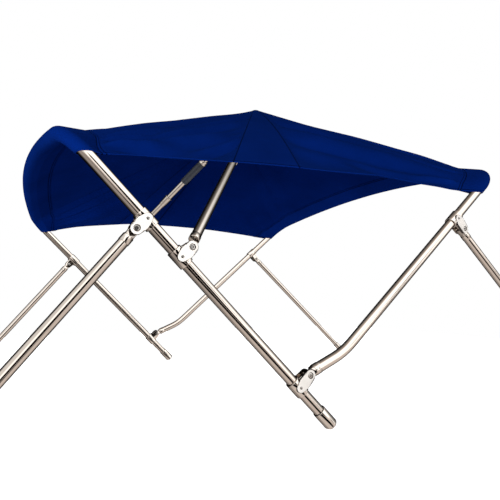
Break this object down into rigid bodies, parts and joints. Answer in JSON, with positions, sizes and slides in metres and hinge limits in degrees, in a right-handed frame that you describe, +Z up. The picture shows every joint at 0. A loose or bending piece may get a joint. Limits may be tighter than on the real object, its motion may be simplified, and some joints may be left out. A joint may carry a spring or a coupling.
{
  "type": "bimini top with frame",
  "caption": "Boat sunshade: cloth canopy with sewn pockets round two end bows, a peaked middle bow under it, and braces held by jaw slides and eye ends.",
  "frame": {"origin": "middle of the footprint on the deck plane", "axes": "+X from the main bow's brace to the second bow's brace, +Y to starboard, +Z up"},
  "size_m": [2.2338, 1.6076, 1.218],
  "materials": {
    "canopy_cloth": "woven acrylic canvas, matt, royal to navy blue",
    "tube": "stainless tube, polished bright",
    "fitting": "cast stainless, polished, with soft edges",
    "fastener": "stainless bolts and set screws",
    "grip": "dark blue-grey moulded sleeve"
  },
  "bodies": {
    "root": {"main_bow": "tube", "second_bow": "tube", "middle_bow_top": "tube", "middle_bow_leg_port": "tube", "middle_bow_leg_starboard": "tube", "joining_sleeve_port": "fitting", "joining_sleeve_starboard": "fitting", "grip_sleeve_port": "grip", "grip_sleeve_starboard": "grip", "stop_ring_port": "fitting", "stop_ring_starboard": "fitting", "main_bow_foot_port": "fitting", "main_bow_foot_starboard": "fitting", "main_brace_port": "tube", "main_brace_starboard": "tube", "main_brace_foot_port": "fitting", "main_brace_foot_starboard": "fitting", "second_brace_port": "tube", "second_brace_starboard": "tube", "second_brace_foot_port": "fitting", "second_brace_foot_starboard": "fitting", "second_bow_slide_port": "fitting", "second_bow_slide_starboard": "fitting", "second_bow_eye_port": "fitting", "second_bow_eye_starboard": "fitting", "second_bow_bolt_port": "fastener", "second_bow_bolt_starboard": "fastener", "second_bow_screw_port": "fastener", "second_bow_screw_starboard": "fastener", "middle_bow_slide_port": "fitting", "middle_bow_slide_starboard": "fitting", "middle_bow_eye_port": "fitting", "middle_bow_eye_starboard": "fitting", "middle_bow_bolt_port": "fastener", "middle_bow_bolt_starboard": "fastener", "middle_bow_screw_port": "fastener", "middle_bow_screw_starboard": "fastener", "main_brace_slide_port": "fitting", "main_brace_slide_starboard": "fitting", "main_brace_eye_port": "fitting", "main_brace_eye_starboard": "fitting", "main_brace_bolt_port": "fastener", "main_brace_bolt_starboard": "fastener", "main_brace_screw_port": "fastener", "main_brace_screw_starboard": "fastener", "second_brace_slide_port": "fitting", "second_brace_slide_starboard": "fitting", "second_brace_eye_port": "fitting", "second_brace_eye_starboard": "fitting", "second_brace_bolt_port": "fastener", "second_brace_bolt_starboard": "fastener", "second_brace_screw_port": "fastener", "second_brace_screw_starboard": "fastener", "main_pocket": "canopy_cloth", "main_panel": "canopy_cloth", "ridge_panel": "canopy_cloth", "second_panel": "canopy_cloth", "second_pocket": "canopy_cloth"}
  },
  "joints": []
}
